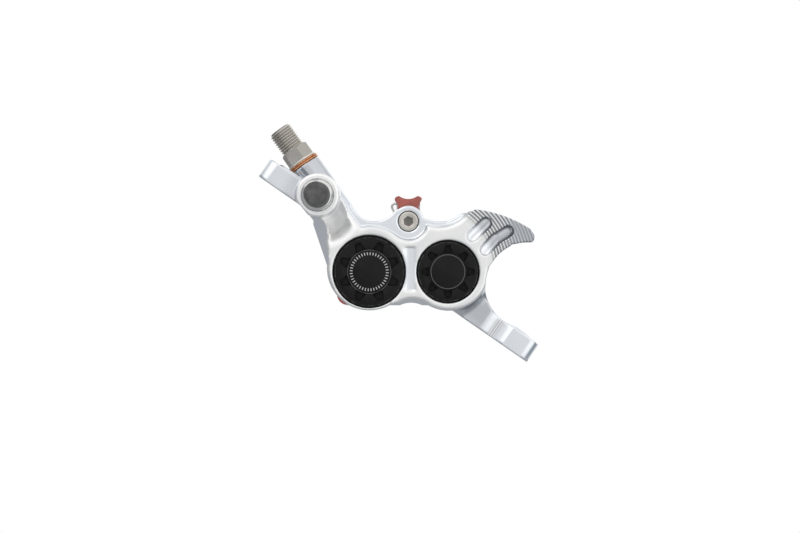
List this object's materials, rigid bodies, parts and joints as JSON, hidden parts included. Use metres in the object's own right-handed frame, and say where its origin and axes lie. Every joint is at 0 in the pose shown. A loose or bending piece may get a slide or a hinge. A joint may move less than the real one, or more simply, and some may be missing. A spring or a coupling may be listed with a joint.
{
  "type": "bicycle disc brake caliper",
  "caption": "One-piece hydraulic bicycle disc brake caliper with pistons on both sides of the rotor slot, sliding pads on a pin, black screwed bore caps, a bleed nipple and a post mount.",
  "frame": {"origin": "midway between the two post-mount bolts, on the plane of the mount's contact faces", "axes": "+X along the mount from the hose end to the far tab, +Y inboard through the rotor plane, +Z away from the posts"},
  "size_m": [0.0939, 0.0506, 0.046],
  "materials": {
    "body_alloy": "polished silver with a satin machined finish",
    "cap_black": "black anodised, turned face",
    "oring_rubber": "matte",
    "piston_steel": "ground",
    "insert_resin": "moulded heat-blocking resin",
    "seal_rubber": "matte",
    "plate_red": "red powder coat",
    "friction": "pressed friction compound",
    "pin_steel": "turned stainless",
    "spring_steel": "bright sheet and wire",
    "nipple_steel": "turned stainless",
    "dust_rubber": "matte dark grey",
    "fitting_steel": "turned stainless",
    "washer_copper": "soft copper"
  },
  "bodies": {
    "caliper": {"caliper_body": "body_alloy", "large_bore_cap": "cap_black", "small_bore_cap": "cap_black", "large_cap_oring": "oring_rubber", "small_cap_oring": "oring_rubber", "outer_large_seal": "seal_rubber", "outer_small_seal": "seal_rubber", "inner_large_seal": "seal_rubber", "inner_small_seal": "seal_rubber", "pad_pin": "pin_steel", "pad_pin_clip": "spring_steel", "pad_spring": "spring_steel", "hose_fitting": "fitting_steel", "fitting_washer": "washer_copper"},
    "outer_pad": {"outer_pad_plate": "plate_red", "outer_pad_friction": "friction"},
    "inner_pad": {"inner_pad_plate": "plate_red", "inner_pad_friction": "friction"},
    "outer_large_piston_unit": {"outer_large_piston": "piston_steel", "outer_large_insert": "insert_resin"},
    "outer_small_piston_unit": {"outer_small_piston": "piston_steel", "outer_small_insert": "insert_resin"},
    "inner_large_piston_unit": {"inner_large_piston": "piston_steel", "inner_large_insert": "insert_resin"},
    "inner_small_piston_unit": {"inner_small_piston": "piston_steel", "inner_small_insert": "insert_resin"},
    "nipple": {"bleed_nipple": "nipple_steel"},
    "dust_cap": {"bleed_cap": "dust_rubber"}
  },
  "joints": [
    {"name": "outer_pad_slide", "type": "slide", "parent": "caliper", "child": "outer_pad", "axis": [0, 1, 0], "range_m": [0, 0.002], "deforming": ["pad_spring"]},
    {"name": "inner_pad_slide", "type": "slide", "parent": "caliper", "child": "inner_pad", "axis": [0, -1, 0], "range_m": [0, 0.002]},
    {"name": "outer_large_piston_slide", "type": "slide", "parent": "caliper", "child": "outer_large_piston_unit", "axis": [0, 1, 0], "range_m": [0, 0.002]},
    {"name": "outer_small_piston_slide", "type": "slide", "parent": "caliper", "child": "outer_small_piston_unit", "axis": [0, 1, 0], "range_m": [0, 0.002]},
    {"name": "inner_large_piston_slide", "type": "slide", "parent": "caliper", "child": "inner_large_piston_unit", "axis": [0, -1, 0], "range_m": [0, 0.002]},
    {"name": "inner_small_piston_slide", "type": "slide", "parent": "caliper", "child": "inner_small_piston_unit", "axis": [0, -1, 0], "range_m": [0, 0.002]},
    {"name": "bleed_nipple_turn", "type": "hinge", "parent": "caliper", "child": "nipple", "pos_m": [-0.02797, -0.0105, 0.00489], "axis": [0, -1, 0], "range_deg": [0, 180]},
    {"name": "bleed_cap_pull", "type": "slide", "parent": "nipple", "child": "dust_cap", "axis": [0, -1, 0], "range_m": [0, 0.012]}
  ],
  "couplings": [
    {"joint": "inner_pad_slide", "follows": "outer_pad_slide", "ratio": 1},
    {"joint": "outer_large_piston_slide", "follows": "outer_pad_slide", "ratio": 1},
    {"joint": "outer_small_piston_slide", "follows": "outer_pad_slide", "ratio": 1},
    {"joint": "inner_large_piston_slide", "follows": "outer_pad_slide", "ratio": 1},
    {"joint": "inner_small_piston_slide", "follows": "outer_pad_slide", "ratio": 1}
  ]
}
